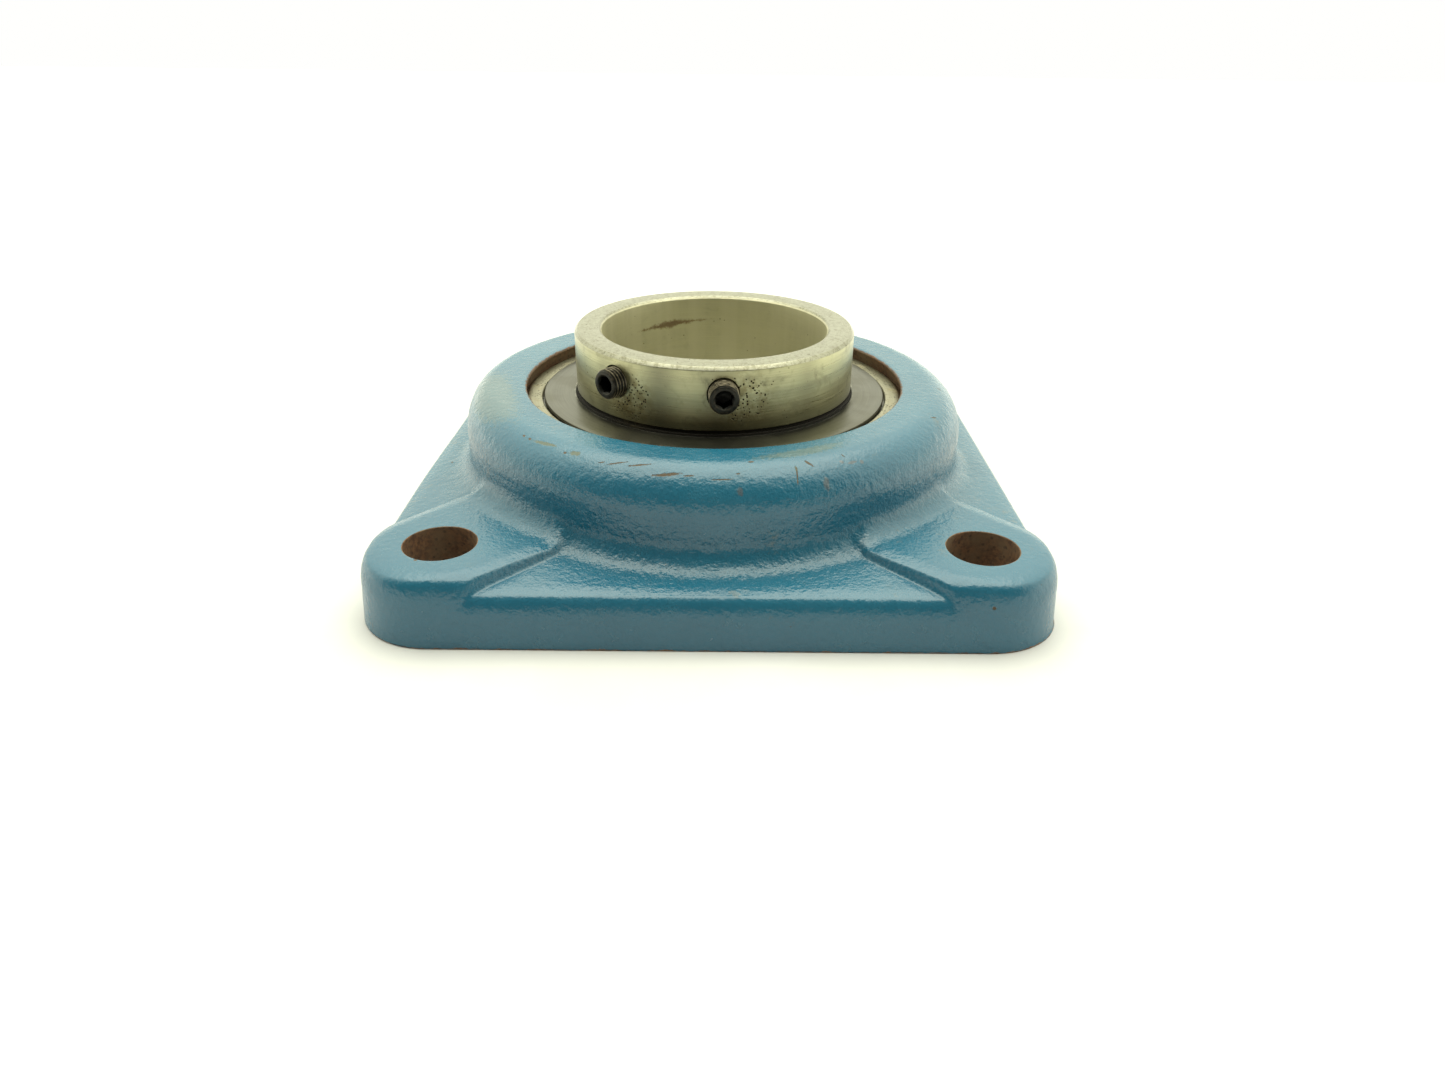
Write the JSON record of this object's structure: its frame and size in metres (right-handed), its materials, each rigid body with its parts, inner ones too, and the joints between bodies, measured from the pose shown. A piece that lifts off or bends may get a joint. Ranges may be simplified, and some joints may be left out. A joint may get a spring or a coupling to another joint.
{
  "type": "flange mount bearing",
  "caption": "Square four-bolt flange unit in painted cast iron with a self-aligning ball bearing insert, a long inner ring collar and radial set screws for gripping a shaft.",
  "frame": {"origin": "centre of the square flange on its mounting face, where the face meets the shaft axis", "axes": "+Z along the shaft axis, out of the boss and away from the mounting face; X and Y along the flange's sides, with the two set screws towards -Y and the grease nipple at +Y"},
  "size_m": [0.211, 0.211, 0.0675],
  "materials": {
    "blue_enamel": "glossy enamel over rough sand casting",
    "outer_ring_steel": "ground, pitted, slightly tarnished",
    "ground_steel": "ground round the axis, light stains",
    "flinger_steel": "dark pressed sheet, satin",
    "carrier_steel": "pressed sheet, satin",
    "cage_steel": "pressed sheet, satin",
    "rivet_steel": "headed wire, satin",
    "ball_steel": "lapped, mirror bright",
    "black_oxide_steel": "black oxide, oily",
    "seal_rubber": "smooth moulded rubber",
    "plated_steel": "dull zinc plate",
    "spring_steel": "drawn wire"
  },
  "bodies": {
    "housing": {"housing": "blue_enamel", "grease_nipple": "plated_steel", "nipple_spring": "spring_steel"},
    "insert": {"outer_ring": "outer_ring_steel", "front_seal_carrier": "carrier_steel", "front_seal_lip": "seal_rubber", "rear_seal_carrier": "carrier_steel", "rear_seal_lip": "seal_rubber"},
    "shaft_ring": {"inner_ring": "ground_steel", "front_flinger": "flinger_steel", "rear_flinger": "flinger_steel"},
    "cage": {"cage_upper": "cage_steel", "cage_lower": "cage_steel", "cage_rivets": "rivet_steel"},
    "ball_01": {"ball_01": "ball_steel"},
    "ball_02": {"ball_02": "ball_steel"},
    "ball_03": {"ball_03": "ball_steel"},
    "ball_04": {"ball_04": "ball_steel"},
    "ball_05": {"ball_05": "ball_steel"},
    "ball_06": {"ball_06": "ball_steel"},
    "ball_07": {"ball_07": "ball_steel"},
    "ball_08": {"ball_08": "ball_steel"},
    "ball_09": {"ball_09": "ball_steel"},
    "ball_10": {"ball_10": "ball_steel"},
    "ball_11": {"ball_11": "ball_steel"},
    "set_screw_left": {"set_screw_left": "black_oxide_steel"},
    "set_screw_right": {"set_screw_right": "black_oxide_steel"},
    "check_ball": {"nipple_ball": "ball_steel"}
  },
  "joints": [
    {"name": "insert_align", "type": "hinge", "parent": "housing", "child": "insert", "pos_m": [0, 0, 0.0287], "axis": [1, 0, 0], "range_deg": [-2, 2]},
    {"name": "shaft_spin", "type": "hinge", "parent": "insert", "child": "shaft_ring", "pos_m": [0, 0, 0.0287], "axis": [0, 0, 1], "continuous": true},
    {"name": "cage_spin", "type": "hinge", "parent": "insert", "child": "cage", "pos_m": [0, 0, 0.0287], "axis": [0, 0, 1], "continuous": true},
    {"name": "ball_01_spin", "type": "hinge", "parent": "cage", "child": "ball_01", "pos_m": [0, -0.055, 0.0287], "axis": [0, 0, 1], "continuous": true},
    {"name": "ball_02_spin", "type": "hinge", "parent": "cage", "child": "ball_02", "pos_m": [0.02974, -0.04627, 0.0287], "axis": [0, 0, 1], "continuous": true},
    {"name": "ball_03_spin", "type": "hinge", "parent": "cage", "child": "ball_03", "pos_m": [0.05003, -0.02285, 0.0287], "axis": [0, 0, 1], "continuous": true},
    {"name": "ball_04_spin", "type": "hinge", "parent": "cage", "child": "ball_04", "pos_m": [0.05444, 0.00783, 0.0287], "axis": [0, 0, 1], "continuous": true},
    {"name": "ball_05_spin", "type": "hinge", "parent": "cage", "child": "ball_05", "pos_m": [0.04157, 0.03602, 0.0287], "axis": [0, 0, 1], "continuous": true},
    {"name": "ball_06_spin", "type": "hinge", "parent": "cage", "child": "ball_06", "pos_m": [0.0155, 0.05277, 0.0287], "axis": [0, 0, 1], "continuous": true},
    {"name": "ball_07_spin", "type": "hinge", "parent": "cage", "child": "ball_07", "pos_m": [-0.0155, 0.05277, 0.0287], "axis": [0, 0, 1], "continuous": true},
    {"name": "ball_08_spin", "type": "hinge", "parent": "cage", "child": "ball_08", "pos_m": [-0.04157, 0.03602, 0.0287], "axis": [0, 0, 1], "continuous": true},
    {"name": "ball_09_spin", "type": "hinge", "parent": "cage", "child": "ball_09", "pos_m": [-0.05444, 0.00783, 0.0287], "axis": [0, 0, 1], "continuous": true},
    {"name": "ball_10_spin", "type": "hinge", "parent": "cage", "child": "ball_10", "pos_m": [-0.05003, -0.02285, 0.0287], "axis": [0, 0, 1], "continuous": true},
    {"name": "ball_11_spin", "type": "hinge", "parent": "cage", "child": "ball_11", "pos_m": [-0.02974, -0.04627, 0.0287], "axis": [0, 0, 1], "continuous": true},
    {"name": "set_screw_left_travel", "type": "slide", "parent": "shaft_ring", "child": "set_screw_left", "axis": [-0.6508, -0.7593, 0], "range_m": [-0.0022, 0.003]},
    {"name": "set_screw_right_travel", "type": "slide", "parent": "shaft_ring", "child": "set_screw_right", "axis": [0.0645, -0.9979, 0], "range_m": [-0.003, 0.002]},
    {"name": "nipple_ball_travel", "type": "slide", "parent": "housing", "child": "check_ball", "axis": [0, -0.866, -0.5], "range_m": [0, 0.001], "stiffness_N_per_m": 200, "deforming": ["nipple_spring"]}
  ],
  "couplings": [
    {"joint": "cage_spin", "follows": "shaft_spin", "ratio": 0.42063},
    {"joint": "ball_01_spin", "follows": "shaft_spin", "ratio": -3.0703},
    {"joint": "ball_02_spin", "follows": "shaft_spin", "ratio": -3.0703},
    {"joint": "ball_03_spin", "follows": "shaft_spin", "ratio": -3.0703},
    {"joint": "ball_04_spin", "follows": "shaft_spin", "ratio": -3.0703},
    {"joint": "ball_05_spin", "follows": "shaft_spin", "ratio": -3.0703},
    {"joint": "ball_06_spin", "follows": "shaft_spin", "ratio": -3.0703},
    {"joint": "ball_07_spin", "follows": "shaft_spin", "ratio": -3.0703},
    {"joint": "ball_08_spin", "follows": "shaft_spin", "ratio": -3.0703},
    {"joint": "ball_09_spin", "follows": "shaft_spin", "ratio": -3.0703},
    {"joint": "ball_10_spin", "follows": "shaft_spin", "ratio": -3.0703},
    {"joint": "ball_11_spin", "follows": "shaft_spin", "ratio": -3.0703}
  ]
}
